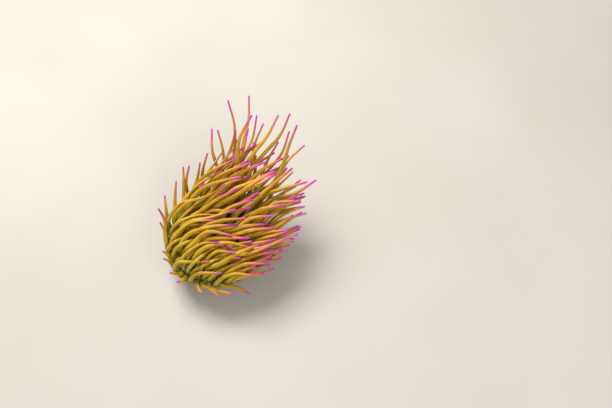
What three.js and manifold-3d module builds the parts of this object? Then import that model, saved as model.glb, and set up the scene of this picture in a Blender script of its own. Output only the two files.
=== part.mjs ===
// Snakelocks sea anemone, open, with its crown of long tentacles streaming to one side.
// Millimetres, +Z up. The origin is the centre of the sole, at floor level. The crown leans to +X.
import * as THREE from "three";
import { mergeVertices } from "three/addons/utils/BufferGeometryUtils.js";
import Module from "manifold-3d";

// ---------------------------------------------------------------- driving dimensions
const SEAM = 0.3; // clearance between neighbouring parts of the body
const TENTACLE_GAP = 0.35; // clearance aimed at between tentacles
const BODY_CLEARANCE = 0.5; // clearance of a free tentacle over the body
const ROOT_DEPTH = 1.2; // how far a tentacle root sinks into the crown

const SOLE_RADIUS = 25.5;
const PEDAL_TOP = { r: 23.8, z: 3.2 };
const WAIST = { r: 22.8, z: 7.0 };
const SHOULDER = { r: 24.6, z: 11.5 };
const COLLAR = { r: 29.0, z: 14.4 };
const MARGIN = { r: 30.6, z: 16.5 };
const CROWN_FLOOR_Z = 14.9; // underside of the crown sectors and of the oral disc
const ORAL_DISC_RADIUS = 8.9;
const INNER_CROWN_RADIUS = 18.6;
const SECTOR_RIDGES = { inner: 14.2, outer: 25.0 }; // radii at which the tops of the sectors bend
const ORAL_DISC_RIM_Z = 19.7;
const LIPS = { inner: 1.5, crest: 2.9, outer: 4.4, innerZ: 19.6, crestZ: 20.4, outerZ: 19.3 };
const THROAT_Z = 16.8; // deepest point that shows between the lips
const MOUTH_STRETCH = { x: 1.35, y: 0.8 }; // the mouth is a slit along X
const FOOT_SHIFT = { x: 3.5, y: 4 }; // the crown overhangs its foot on the upstream and near side
const FOOT_LOBES = [
  { count: 3, height: 0.03, phase: 0.6 },
  { count: 7, height: 0.018, phase: 2 },
]; // waves of the sole's edge, as shares of its radius

const INNER_SECTORS = 12;
const OUTER_SECTORS = 24;
const BEAD_COUNT = 24; // acrorhagi round the collar
const BEAD_RADIUS = 1.1;
const BEAD_DROP = 0.3; // from the collar's widest ring down to the beads' tops

// outline of the body, from the floor up the column, over the margin and in to the mouth
const OUTLINE = [
  { r: SOLE_RADIUS, z: 0 },
  { r: SOLE_RADIUS, z: 1.2 },
  PEDAL_TOP,
  WAIST,
  SHOULDER,
  COLLAR,
  MARGIN,
  { r: 28.4, z: 17.9 },
  { r: 25.0, z: 19.0 },
  { r: 21.2, z: 19.9 },
  { r: 16.8, z: 20.4 },
  { r: 12.8, z: 20.4 },
  { r: 9.2, z: 19.8 },
  { r: 0, z: 19.0 },
];
const MARGIN_INDEX = OUTLINE.indexOf(MARGIN);

// The five cycles of tentacles, from the mouth out to the margin.
//   ring       radius of the circle of roots
//   offsets    sideways place of each root in its sector, mirrored from one sector to the next
//              where alternate is set
//   tilt       lean of the root away from upright, in degrees
//   farGain    how much longer the tentacles of the +Y side are
//   base, tip  radius at the root and at the tip
//   sides      faces round each tentacle
//   stream     how fully the tentacles follow the stream, from 0 to 1
const CYCLES = [
  {
    ring: 11.6, sectors: INNER_SECTORS, offsets: [-0.6], alternate: false, tilt: 8,
    length: 58, farGain: 0.1, base: 2.1, tip: 0.95, sides: 5, stream: 1.0,
  },
  {
    ring: 16.6, sectors: INNER_SECTORS, offsets: [2.1], alternate: false, tilt: 14,
    length: 57, farGain: 0.15, base: 2.05, tip: 0.95, sides: 5, stream: 1.0,
  },
  {
    ring: 21.2, sectors: OUTER_SECTORS, offsets: [-0.67], alternate: true, tilt: 24,
    length: 54, farGain: 0.25, base: 1.9, tip: 0.9, sides: 5, stream: 0.98,
  },
  {
    ring: 25.0, sectors: OUTER_SECTORS, offsets: [-1.55, 1.55], alternate: false, tilt: 36,
    length: 46, farGain: 0.35, base: 1.3, tip: 0.8, sides: 4, stream: 0.94,
  },
  {
    ring: 28.4, sectors: OUTER_SECTORS, offsets: [-1.9, 1.9], alternate: false, tilt: 56,
    length: 36, farGain: 0.35, base: 1.4, tip: 0.8, sides: 4, stream: 0.84,
  },
];

// Tentacles that leave the stream: the cycle (0 is the innermost), the angle of the root round the
// body, the heading and pitch that the tentacle ends in, and its length.
const LOOSE = [
  // tall ones beyond the far margin
  { cycle: 4, at: 57, heading: 88, pitch: 43, length: 80 },
  { cycle: 4, at: 72, heading: 94, pitch: 43, length: 75 },
  { cycle: 3, at: 84, heading: 90, pitch: 46, length: 56 },
  { cycle: 4, at: 90, heading: 94, pitch: 42, length: 54 },
  { cycle: 4, at: 64, heading: 90, pitch: 44, length: 50 },
  { cycle: 4, at: 50, heading: 84, pitch: 45, length: 52 },
  // a tuft that stands up behind the leaning crown
  { cycle: 4, at: 112, heading: 80, pitch: 46, length: 40 },
  { cycle: 4, at: 120, heading: 76, pitch: 46, length: 36 },
  { cycle: 4, at: 128, heading: 76, pitch: 46, length: 36 },
  { cycle: 4, at: 137, heading: 80, pitch: 46, length: 37 },
  { cycle: 4, at: 146, heading: 92, pitch: 48, length: 30 },
  // short ones upright on the upstream margin
  { cycle: 4, at: 160, heading: 104, pitch: 50, length: 27 },
  { cycle: 4, at: 174, heading: 106, pitch: 50, length: 26 },
  { cycle: 4, at: 184, heading: 100, pitch: 52, length: 26 },
  { cycle: 4, at: 194, heading: 105, pitch: 55, length: 23 },
  // short curled ones on the near margin
  { cycle: 4, at: 206, heading: 150, pitch: 60, length: 12 },
  { cycle: 4, at: 216, heading: 170, pitch: 50, length: 11 },
  { cycle: 4, at: 226, heading: 200, pitch: 45, length: 11 },
  { cycle: 4, at: 237, heading: 240, pitch: 40, length: 12 },
  { cycle: 4, at: 249, heading: 300, pitch: 25, length: 14 },
  { cycle: 4, at: 260, heading: 325, pitch: 8, length: 18 },
  { cycle: 4, at: 270, heading: 338, pitch: 4, length: 21 },
  { cycle: 4, at: 280, heading: 345, pitch: 2, length: 22 },
  // the longest of the fan
  { cycle: 2, at: 38, heading: 47, pitch: 42, length: 80 },
  { cycle: 2, at: 52, heading: 51, pitch: 43, length: 82 },
  { cycle: 2, at: 68, heading: 54, pitch: 44, length: 78 },
  { cycle: 2, at: 82, heading: 60, pitch: 44, length: 74 },
  { cycle: 3, at: 32, heading: 42, pitch: 38, length: 68 },
  { cycle: 3, at: 55, heading: 47, pitch: 42, length: 70 },
  // thin ones among the longest
  { cycle: 3, at: 62, heading: 58, pitch: 45, length: 66 },
  { cycle: 3, at: 70, heading: 64, pitch: 43, length: 70 },
  { cycle: 3, at: 76, heading: 60, pitch: 45, length: 62 },
  { cycle: 3, at: 92, heading: 66, pitch: 44, length: 58 },
  { cycle: 3, at: 47, heading: 50, pitch: 45, length: 60 },
  { cycle: 3, at: 40, heading: 44, pitch: 44, length: 56 },
];

// A tentacle turns from its root to its rise, and from there sweeps round into the stream. Both
// directions are a heading and a pitch in degrees, as polynomials of v = y / margin radius.
const RISE_HEADING = [45, 12, -4];
const RISE_PITCH = [44, 6, -2];
const RISE_SHARE = 0.2; // share of its length in which a tentacle turns into its rise
const STREAM_HEADING = [12, 14, 14];
const STREAM_PITCH = [12, 11, 10];
const STREAM_FAN = 4; // degrees that the stream's two angles gain with u = x / margin radius
const SWEEP = { start: 0.1, share: 0.7 }; // where the sweep into the stream begins, and its share
const REST_PITCH = { upstream: 35, lee: -10, near: -20 }; // degrees, out of the stream
const SHORTENING = { near: 0.12, nearLee: 0.6, lee: 0.03 }; // tentacles are shorter towards these sides
const SCATTER = { direction: 8, rest: 12, stream: 0.3, length: 0.1, sweep: 0.25 };
const WAVE = { degrees: 12, across: 1.1, lift: 1, growth: 2.5 }; // snaking: swing, and turns along it
const STEP_LENGTH = 12; // a tentacle has about one step per 12 mm, and four at least
const STEP_GROWTH = 1.35; // steps grow along a tentacle, as its bend is near the root
const TAPER = 0.8;
const TIP_DOME = 0.8; // height of a tip's dome, in tip radii
const FACET_TURN = 24; // degrees by which a tentacle's faces are turned about its course
const FINEST_DETAIL = 0.05; // edges and slivers finer than this are merged
const SEED = 7;

// rounds in which the tentacles settle beside each other, and how firmly each keeps its own shape
const SETTLING = [
  { count: 200, firmness: 0.25 },
  { count: 60, firmness: 0.06 },
];
const LAST_ROUNDS = 60; // in these they are only moved apart
const PAIR_REACH = 6; // links this close or closer are watched
const PAIR_REFRESH = 10; // rounds between two searches for such links

// ---------------------------------------------------------------- small helpers
const radians = THREE.MathUtils.degToRad;
const UP = new THREE.Vector3(0, 0, 1);

// repeatable scatter: each call gives the next number from -1 to 1
function scatterSource(seed) {
  let state = seed;
  return () => {
    state = (state * 1664525 + 1013904223) % 4294967296;
    return (2 * state) / 4294967296 - 1;
  };
}

function direction(heading, pitch) {
  const flat = Math.cos(radians(pitch));
  const h = radians(heading);
  return new THREE.Vector3(flat * Math.cos(h), flat * Math.sin(h), Math.sin(radians(pitch)));
}

function polynomial([c0, c1, c2], v) {
  return c0 + c1 * v + c2 * v * v;
}

// straight-line reading of an outline: the value of key at a place given by by, which rises along points
function interpolate(points, by, key, at) {
  if (at <= points[0][by]) return points[0][key];
  for (let i = 1; i < points.length; i += 1) {
    const a = points[i - 1];
    const b = points[i];
    if (at <= b[by]) return a[key] + ((b[key] - a[key]) * (at - a[by])) / (b[by] - a[by]);
  }
  return points[points.length - 1][key];
}

const SIDE_OUTLINE = OUTLINE.slice(0, MARGIN_INDEX + 1);
const TOP_OUTLINE = OUTLINE.slice(MARGIN_INDEX).reverse();
const crownZ = (r) => interpolate(TOP_OUTLINE, "r", "z", r);
const sideRadius = (z) => interpolate(SIDE_OUTLINE, "z", "r", z);

// ---------------------------------------------------------------- the course of each tentacle
function tentacleRoot(cycle, sector, offset) {
  const angle = ((sector + 0.5) * 2 * Math.PI) / cycle.sectors + Math.atan2(offset, cycle.ring);
  const outward = new THREE.Vector3(Math.cos(angle), Math.sin(angle), 0);
  const tilt = radians(cycle.tilt);
  const normal = UP.clone().multiplyScalar(Math.cos(tilt)).addScaledVector(outward, Math.sin(tilt));
  const root = outward.clone().multiplyScalar(cycle.ring).setZ(crownZ(cycle.ring));
  root.addScaledVector(normal, -ROOT_DEPTH);
  return { angle, outward, normal, root };
}

// A tentacle that isn't in the stream lies outward: it rises on the upstream side, where the crown
// leans away from it, and droops on the near side.
function restingDirection(outward, scatter) {
  const near = Math.max(0, -outward.y);
  const upstream = 0.5 - 0.5 * outward.x;
  const level = REST_PITCH.upstream * upstream + REST_PITCH.lee * (1 - upstream);
  const pitch = radians(level + REST_PITCH.near * near + SCATTER.rest * scatter);
  return outward.clone().multiplyScalar(Math.cos(pitch)).addScaledVector(UP, Math.sin(pitch));
}

// a direction between two others, nearer the second as share goes from 0 to 1
function between(one, other, share) {
  return one.clone().multiplyScalar(1 - share).addScaledVector(other, share).normalize();
}

function makeTentacle(cycle, sector, offset, scatter) {
  const place = tentacleRoot(cycle, sector, offset);
  const u = (cycle.ring * place.outward.x) / MARGIN.r;
  const v = (cycle.ring * place.outward.y) / MARGIN.r;
  const heading = polynomial(STREAM_HEADING, v) + STREAM_FAN * u + SCATTER.direction * scatter();
  const pitch = polynomial(STREAM_PITCH, v) + STREAM_FAN * u + SCATTER.direction * scatter();
  const resting = restingDirection(place.outward, scatter());
  const stream = Math.min(1, cycle.stream + (1 - cycle.stream) * SCATTER.stream * scatter());
  const end = between(resting, direction(heading, pitch), stream);
  const riseHeading = polynomial(RISE_HEADING, v) + SCATTER.direction * scatter();
  const risePitch = polynomial(RISE_PITCH, v) + SCATTER.direction * scatter();
  const rise = between(resting, direction(riseHeading, risePitch), stream);
  const lee = Math.max(0, u);
  const far = Math.max(0, place.outward.y);
  const near = Math.max(0, -place.outward.y);
  let length = cycle.length * (1 + SCATTER.length * scatter()) * (1 + cycle.farGain * far);
  length *= 1 - SHORTENING.near * near;
  length *= 1 - SHORTENING.nearLee * lee * Math.max(0, -v) - SHORTENING.lee * lee;
  const sweep = SWEEP.share * (1 + SCATTER.sweep * scatter());
  const waves = [Math.PI * scatter(), Math.PI * scatter()];
  return { ...place, cycle, sector, rise, end, length, sweep, waves };
}

function loosen(tentacles) {
  const changed = new Set();
  for (const loose of LOOSE) {
    const distance = (t) => Math.abs(((THREE.MathUtils.radToDeg(t.angle) - loose.at + 540) % 360) - 180);
    const free = tentacles.filter((t) => t.cycle === CYCLES[loose.cycle] && !changed.has(t));
    const nearest = free.reduce((best, t) => (distance(t) < distance(best) ? t : best));
    changed.add(nearest);
    nearest.rise = direction(loose.heading, loose.pitch);
    nearest.end = nearest.rise;
    nearest.length = loose.length;
  }
}

function makeTentacles() {
  const scatter = scatterSource(SEED);
  const tentacles = [];
  for (const cycle of CYCLES) {
    for (let sector = 0; sector < cycle.sectors; sector += 1) {
      const side = cycle.alternate && sector % 2 === 1 ? -1 : 1;
      for (const offset of cycle.offsets) {
        tentacles.push(makeTentacle(cycle, sector, side * offset, scatter));
      }
    }
  }
  loosen(tentacles);
  return tentacles;
}

// points down a tentacle as it would lie alone: it leaves the crown square, turns into its rise and
// sweeps round to its end direction, snaking a little
function freeCourse(tentacle) {
  const steps = Math.max(4, Math.round(tentacle.length / STEP_LENGTH));
  const share = (j) => (j / steps) ** STEP_GROWTH;
  const across = new THREE.Vector3().crossVectors(tentacle.end, UP);
  across.divideScalar(Math.max(1e-6, across.length()));
  const lift = new THREE.Vector3().crossVectors(across, tentacle.end);
  const points = [tentacle.root.clone()];
  const radii = [];
  for (let j = 0; j < steps; j += 1) {
    const middle = 0.5 * (share(j) + share(j + 1));
    const sweep = THREE.MathUtils.smoothstep(middle, SWEEP.start, SWEEP.start + tentacle.sweep);
    const turn = THREE.MathUtils.smoothstep(middle, 0, RISE_SHARE);
    const heading = between(tentacle.normal, between(tentacle.rise, tentacle.end, sweep), turn);
    const swing = radians(WAVE.degrees) * Math.min(1, middle * WAVE.growth);
    const phase = 2 * Math.PI * middle;
    heading.addScaledVector(across, swing * Math.sin(WAVE.across * phase + tentacle.waves[0]));
    heading.addScaledVector(lift, swing * Math.sin(WAVE.lift * phase + tentacle.waves[1]));
    heading.normalize();
    const step = tentacle.length * (share(j + 1) - share(j));
    points.push(points[j].clone().addScaledVector(heading, step));
  }
  for (let j = 0; j <= steps; j += 1) {
    const { base, tip } = tentacle.cycle;
    radii.push(tip + (base - tip) * (1 - share(j)) ** TAPER);
  }
  return { points, radii };
}

// ---------------------------------------------------------------- tentacles settle side by side
// The crown is a set of nodes joined by links. Each round draws every link back towards its free
// direction and length, and pushes apart links that lie closer than their radii and the gap allow.
class Crown {
  constructor(tentacles) {
    this.courses = tentacles.map((tentacle) => {
      const { points, radii } = freeCourse(tentacle);
      return points.map((p, order) => ({
        p,
        order,
        radius: radii[order],
        weight: order === 0 ? 0 : 1,
        shift: new THREE.Vector3(),
        touches: 0,
      }));
    });
    this.nodes = this.courses.flat();
    this.links = [];
    for (const course of this.courses) {
      for (let j = 1; j < course.length; j += 1) {
        const [a, b] = [course[j - 1], course[j]];
        const free = b.p.clone().sub(a.p);
        this.links.push({ a, b, free, length: free.length(), course });
      }
    }
    this.pairs = [];
  }

  findPairs() {
    this.pairs = [];
    const middles = this.links.map((l) => l.a.p.clone().add(l.b.p).multiplyScalar(0.5));
    const bounds = this.links.map((l) => 0.5 * l.length + Math.max(l.a.radius, l.b.radius));
    for (let i = 0; i < this.links.length; i += 1) {
      for (let j = i + 1; j < this.links.length; j += 1) {
        if (this.links[i].course === this.links[j].course) continue;
        const limit = bounds[i] + bounds[j] + TENTACLE_GAP + PAIR_REACH;
        if (middles[i].distanceToSquared(middles[j]) < limit * limit) {
          this.pairs.push([this.links[i], this.links[j]]);
        }
      }
    }
  }

  applyShifts() {
    for (const node of this.nodes) {
      node.p.add(node.shift);
      node.shift.set(0, 0, 0);
    }
  }

  drawToShape(strength) {
    for (const link of this.links) {
      const error = link.a.p.clone().add(link.free).sub(link.b.p);
      error.multiplyScalar(strength / (link.a.weight + link.b.weight));
      link.b.shift.addScaledVector(error, link.b.weight);
      link.a.shift.addScaledVector(error, -link.a.weight);
    }
    this.applyShifts();
  }

  keepLengths() {
    for (const link of this.links) {
      const along = link.b.p.clone().sub(link.a.p);
      const length = along.length();
      const stretch = (link.length - length) / length / (link.a.weight + link.b.weight);
      along.multiplyScalar(0.8 * stretch);
      link.b.shift.addScaledVector(along, link.b.weight);
      link.a.shift.addScaledVector(along, -link.a.weight);
    }
    this.applyShifts();
  }

  separate(strength) {
    for (const node of this.nodes) node.touches = 0;
    for (const [one, two] of this.pairs) {
      const { s, t, apart, distance, need } = closeness(one, two);
      if (distance >= need) continue;
      const shares = [
        [one.a, 1 - s, 1],
        [one.b, s, 1],
        [two.a, 1 - t, -1],
        [two.b, t, -1],
      ];
      const yielding = shares.reduce((sum, [node, share]) => sum + share * share * node.weight, 0);
      const push = ((need - distance) * strength) / Math.max(yielding, 0.15) / Math.max(distance, 1e-6);
      for (const [node, share, sign] of shares) {
        const part = share * node.weight;
        node.shift.addScaledVector(apart, sign * part * push);
        if (part > 1e-3) node.touches += 1;
      }
    }
    for (const node of this.nodes) node.shift.divideScalar(Math.max(1, 0.6 * node.touches));
    this.applyShifts();
  }

  // free nodes stay clear of the body and of the floor
  clearBody() {
    for (const node of this.nodes) {
      if (node.order > 1) pushOffBody(node);
      if (node.order > 0) node.p.z = Math.max(node.p.z, node.radius + SEAM);
    }
  }

  settle() {
    let round = 0;
    for (const { count, firmness } of SETTLING) {
      for (let i = 0; i < count; i += 1) {
        if (round % PAIR_REFRESH === 0) this.findPairs();
        this.drawToShape(firmness);
        this.separate(0.9);
        this.clearBody();
        this.keepLengths();
        round += 1;
      }
    }
    this.findPairs();
    for (let i = 0; i < LAST_ROUNDS; i += 1) {
      this.separate(1);
      this.clearBody();
    }
  }
}

// nearest points of two links, the vector between them, and the distance that they need
function closeness(one, two) {
  const d1 = one.b.p.clone().sub(one.a.p);
  const d2 = two.b.p.clone().sub(two.a.p);
  const r = one.a.p.clone().sub(two.a.p);
  const a = d1.dot(d1);
  const e = d2.dot(d2);
  const f = d2.dot(r);
  const c = d1.dot(r);
  const b = d1.dot(d2);
  const spread = a * e - b * b;
  const unitClamp = (x) => Math.min(1, Math.max(0, x));
  let s = spread > 1e-9 ? unitClamp((b * f - c * e) / spread) : 0.5;
  let t = unitClamp((b * s + f) / e);
  s = unitClamp((b * t - c) / a);
  t = unitClamp((b * s + f) / e);
  const apart = one.a.p.clone().addScaledVector(d1, s).sub(two.a.p).addScaledVector(d2, -t);
  const need =
    one.a.radius * (1 - s) + one.b.radius * s + two.a.radius * (1 - t) + two.b.radius * t + TENTACLE_GAP;
  return { s, t, apart, distance: apart.length(), need };
}

function pushOffBody(node) {
  const r = Math.hypot(node.p.x, node.p.y);
  const { z } = node.p;
  let nearest = { distance: Infinity };
  for (let i = 1; i < OUTLINE.length; i += 1) {
    const a = OUTLINE[i - 1];
    const dr = OUTLINE[i].r - a.r;
    const dz = OUTLINE[i].z - a.z;
    const t = THREE.MathUtils.clamp(((r - a.r) * dr + (z - a.z) * dz) / (dr * dr + dz * dz), 0, 1);
    const at = { r: a.r + t * dr, z: a.z + t * dz };
    const distance = Math.hypot(r - at.r, z - at.z);
    if (distance < nearest.distance) nearest = { ...at, distance };
  }
  const inside = z > 0 && z < crownZ(r) && r < sideRadius(z);
  const clear = inside ? -nearest.distance : nearest.distance;
  const push = Math.max(0, node.radius + BODY_CLEARANCE - clear);
  if (push === 0) return;
  const side = inside ? -1 : 1;
  const known = nearest.distance > 1e-6;
  const outR = known ? (r - nearest.r) / nearest.distance : 0;
  const outZ = known ? (z - nearest.z) / nearest.distance : 1;
  const scale = (push * outR * side) / Math.max(r, 1e-6);
  node.p.x *= 1 + scale;
  node.p.y *= 1 + scale;
  node.p.z += push * outZ * side;
}

// ---------------------------------------------------------------- solids
const wasm = await Module();
wasm.setup();

// a closed geometry with shared corners and no empty triangles
function welded(geometry) {
  const bare = geometry.clone();
  bare.deleteAttribute("normal");
  bare.deleteAttribute("uv");
  const merged = mergeVertices(bare, 1e-4);
  const kept = [];
  for (let i = 0; i < merged.index.count; i += 3) {
    const corner = [0, 1, 2].map((k) => merged.index.getX(i + k));
    if (new Set(corner).size === 3) kept.push(...corner);
  }
  merged.setIndex(kept);
  return merged;
}

function toSolid(geometry) {
  const closed = welded(geometry);
  const mesh = new wasm.Mesh({
    numProp: 3,
    vertProperties: new Float32Array(closed.attributes.position.array),
    triVerts: new Uint32Array(closed.index.array),
  });
  return new wasm.Manifold(mesh);
}

function toGeometry(solid) {
  const mesh = solid.getMesh();
  const geometry = new THREE.BufferGeometry();
  geometry.setAttribute("position", new THREE.BufferAttribute(new Float32Array(mesh.vertProperties), 3));
  geometry.setIndex(Array.from(mesh.triVerts));
  return geometry;
}

// moves every vertex of a geometry to the place that move gives for it
function reshape(geometry, move) {
  const position = geometry.attributes.position;
  const v = new THREE.Vector3();
  for (let i = 0; i < position.count; i += 1) {
    v.fromBufferAttribute(position, i);
    const to = move(v);
    position.setXYZ(i, to.x, to.y, to.z);
  }
  return geometry;
}

// the foot spreads in low lobes and stands aside from the crown's axis, and both fade up the column
function footed(v) {
  const angle = Math.atan2(v.y, v.x);
  const fade = Math.max(0, 1 - v.z / SHOULDER.z);
  const waves = FOOT_LOBES.map(({ count, height, phase }) => height * Math.sin(count * angle + phase));
  const swell = 1 + fade * (waves[0] + waves[1]);
  return new THREE.Vector3(v.x * swell + FOOT_SHIFT.x * fade, v.y * swell + FOOT_SHIFT.y * fade, v.z);
}

// solid of revolution about Z from points that start and end on the axis
function turned(points, segments) {
  const profile = points.map(({ r, z }) => new THREE.Vector2(r, z));
  const lathe = new THREE.LatheGeometry(profile, segments);
  lathe.rotateX(Math.PI / 2);
  return lathe;
}

// A tapered tube on the given nodes: a cylinder whose rings are carried to the nodes and turned
// square to the course. The tip is domed.
function tentacleTube(course, sides) {
  const last = course.length - 1;
  const tube = new THREE.CylinderGeometry(1, 1, last, sides, last);
  const frames = [];
  for (let j = 0; j <= last; j += 1) {
    const along = new THREE.Vector3();
    if (j > 0) along.add(course[j].p.clone().sub(course[j - 1].p).normalize());
    if (j < last) along.add(course[j + 1].p.clone().sub(course[j].p).normalize());
    along.normalize();
    const start = Math.abs(along.z) < 0.9 ? UP : new THREE.Vector3(1, 0, 0);
    const side = j === 0 ? new THREE.Vector3().crossVectors(along, start) : frames[j - 1].side.clone();
    if (j === 0) side.applyAxisAngle(along, radians(FACET_TURN));
    side.addScaledVector(along, -side.dot(along)).normalize();
    frames.push({ along, side, other: new THREE.Vector3().crossVectors(side, along) });
  }
  return reshape(tube, (v) => {
    const j = Math.round(v.y + last / 2);
    const { along, side, other } = frames[j];
    const { p, radius } = course[j];
    const to = p.clone().addScaledVector(side, radius * v.x).addScaledVector(other, radius * v.z);
    const isTip = j === last && Math.hypot(v.x, v.z) < 0.5;
    return isTip ? to.addScaledVector(along, TIP_DOME * radius) : to;
  });
}

// One sector of the crown: a box bent into a wedge between the given radii, with the crown's own
// top. Its flat sides stop half a seam short of the sector's edges.
function crownWedge(middleAngle, halfAngle, radii, floorEdge, facets) {
  const last = radii.length - 1;
  const box = new THREE.BoxGeometry(2, 1, last, facets, 1, last);
  reshape(box, (v) => {
    const k = Math.round(v.z + last / 2);
    const top = v.y > 0;
    const r = !top && k === last ? floorEdge : radii[k];
    const edge = Math.abs(v.x) > 0.5;
    const forward = edge ? r * Math.cos(halfAngle) : r;
    const sideways = edge ? Math.sign(v.x) * (r * Math.sin(halfAngle) - SEAM / 2) : 0;
    return new THREE.Vector3(forward, sideways, top ? crownZ(radii[k]) : CROWN_FLOOR_Z);
  });
  box.rotateZ(middleAngle);
  return toSolid(box);
}

// ---------------------------------------------------------------- parts
const group = new THREE.Group();
group.name = "sea_anemone";
group.position.set(-FOOT_SHIFT.x, -FOOT_SHIFT.y, 0);

function addPart(name, geometry, color, roughness = 0.45) {
  const material = new THREE.MeshStandardMaterial({ color, roughness, metalness: 0 });
  const mesh = new THREE.Mesh(geometry, material);
  mesh.name = name;
  group.add(mesh);
}

function addFoot() {
  const top = PEDAL_TOP.z - SEAM;
  const points = [
    { r: 0, z: 0 },
    ...OUTLINE.slice(0, 2),
    { r: sideRadius(top), z: top },
    { r: 0, z: top },
  ];
  addPart("pedal_disc", reshape(turned(points, 28), footed), 0x7a5234, 0.6);
}

function addColumn() {
  const points = [{ r: 0, z: PEDAL_TOP.z }, PEDAL_TOP, WAIST, SHOULDER, { r: 0, z: SHOULDER.z }];
  addPart("column", reshape(turned(points, 24), footed), 0x8a5f3c, 0.55);
}

// the collar below the marginal tentacles, with its row of beads
function addCollar() {
  const floor = SHOULDER.z + SEAM;
  const top = CROWN_FLOOR_Z - SEAM;
  const points = [
    { r: 0, z: floor },
    { r: sideRadius(floor), z: floor },
    COLLAR,
    { r: sideRadius(top), z: top },
    { r: 0, z: top },
  ];
  let collar = toSolid(turned(points, BEAD_COUNT));
  const beadZ = COLLAR.z - BEAD_RADIUS - BEAD_DROP;
  const beadRing = sideRadius(beadZ);
  for (let i = 0; i < BEAD_COUNT; i += 1) {
    const angle = ((i + 0.5) * 2 * Math.PI) / BEAD_COUNT;
    const bead = new THREE.OctahedronGeometry(BEAD_RADIUS, 0);
    bead.translate(beadRing * Math.cos(angle), beadRing * Math.sin(angle), beadZ);
    collar = collar.add(toSolid(bead));
  }
  addPart("collar", toGeometry(collar), 0x9a7a4c, 0.5);
}

function stretchedMouth(geometry) {
  return geometry.scale(MOUTH_STRETCH.x, MOUTH_STRETCH.y, 1);
}

// the bare middle of the crown, with the mouth set into it
function addOralDisc() {
  const disc = [
    { r: 0, z: CROWN_FLOOR_Z },
    { r: ORAL_DISC_RADIUS, z: CROWN_FLOOR_Z },
    { r: ORAL_DISC_RADIUS, z: ORAL_DISC_RIM_Z },
    OUTLINE[OUTLINE.length - 1],
  ];
  const holeRadius = LIPS.outer + SEAM;
  const hole = new THREE.CylinderGeometry(holeRadius, holeRadius, 2 * CROWN_FLOOR_Z, 16);
  hole.rotateX(Math.PI / 2).translate(0, 0, CROWN_FLOOR_Z);
  const ring = toSolid(turned(disc, 24)).subtract(toSolid(stretchedMouth(hole)));
  addPart("oral_disc", toGeometry(ring), 0x8c7238, 0.4);

  const mouth = [
    { r: 0, z: CROWN_FLOOR_Z },
    { r: LIPS.outer, z: CROWN_FLOOR_Z },
    { r: LIPS.outer, z: LIPS.outerZ },
    { r: LIPS.crest, z: LIPS.crestZ },
    { r: LIPS.inner, z: LIPS.innerZ },
    { r: 0, z: THROAT_Z },
  ];
  addPart("mouth", stretchedMouth(turned(mouth, 16)), 0xb08a5c, 0.4);
}

// each sector of the crown carries the tentacles that grow from it
function addSectors({ name, count, radii, floorEdge, facets, color }, tentacles, courses) {
  const halfAngle = Math.PI / count;
  for (let sector = 0; sector < count; sector += 1) {
    let solid = crownWedge((2 * sector + 1) * halfAngle, halfAngle, radii, floorEdge, facets);
    tentacles.forEach((tentacle, index) => {
      if (tentacle.cycle.sectors !== count || tentacle.sector !== sector) return;
      solid = solid.add(toSolid(tentacleTube(courses[index], tentacle.cycle.sides)));
    });
    const merged = solid.asOriginal().simplify(FINEST_DETAIL);
    addPart(`${name}_${String(sector + 1).padStart(2, "0")}`, toGeometry(merged), color);
  }
}

function addCrown() {
  const tentacles = makeTentacles();
  const crown = new Crown(tentacles);
  crown.settle();
  const inner = {
    name: "crown_inner",
    count: INNER_SECTORS,
    radii: [ORAL_DISC_RADIUS + SEAM, SECTOR_RIDGES.inner, INNER_CROWN_RADIUS],
    floorEdge: INNER_CROWN_RADIUS,
    facets: 2,
    color: 0xb89a3c,
  };
  const outer = {
    name: "crown_outer",
    count: OUTER_SECTORS,
    radii: [INNER_CROWN_RADIUS + SEAM, SECTOR_RIDGES.outer, MARGIN.r],
    floorEdge: sideRadius(CROWN_FLOOR_Z),
    facets: 1,
    color: 0xa8862c,
  };
  addSectors(inner, tentacles, crown.courses);
  addSectors(outer, tentacles, crown.courses);
}

addFoot();
addColumn();
addCollar();
addOralDisc();
addCrown();

export default group;
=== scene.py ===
import math

import bpy
import numpy as np
from mathutils import Matrix


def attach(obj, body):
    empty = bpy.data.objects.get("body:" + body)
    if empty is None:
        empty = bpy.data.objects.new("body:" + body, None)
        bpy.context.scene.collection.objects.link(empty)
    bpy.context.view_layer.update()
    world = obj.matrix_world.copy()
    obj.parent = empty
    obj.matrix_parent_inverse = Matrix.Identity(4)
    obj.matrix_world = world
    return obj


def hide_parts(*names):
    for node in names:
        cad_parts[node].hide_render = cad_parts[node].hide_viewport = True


# A snakelocks anemone on its foot. Sizes are in millimetres about the crown's axis, as in the part's
# source, until a mesh is made: to_frame() then moves them to the frame, in metres.
MM = 0.001

# ---------------------------------------------------------------- sizes shared with the solids
SEAM = 0.3
TENTACLE_GAP = 0.35
BODY_CLEARANCE = 0.5
ROOT_DEPTH = 1.2
FOOT_SHIFT = np.array([3.5, 4.0, 0.0])
OUTLINE = np.array([
    (25.5, 0.0), (25.5, 1.2), (23.8, 3.2), (22.8, 7.0), (24.6, 11.5), (29.0, 14.4), (30.6, 16.5),
    (28.4, 17.9), (25.0, 19.0), (21.2, 19.9), (16.8, 20.4), (12.8, 20.4), (9.2, 19.8), (0.0, 19.0),
])
MARGIN_INDEX = 6
MARGIN_RADIUS, MARGIN_Z = OUTLINE[MARGIN_INDEX]
SHOULDER_Z = 11.5
COLLAR_Z = 14.4
ORAL_DISC_RADIUS = 8.9
LIP_INNER, LIP_CREST, LIP_OUTER = (1.5, 19.6), (2.9, 20.4), (4.4, 19.3)
THROAT = (0.7, 17.6)
THROAT_Z = 16.8
MOUTH_STRETCH = (1.35, 0.8)
BEAD_COUNT = 24
BEAD_RADIUS = 1.1

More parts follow.
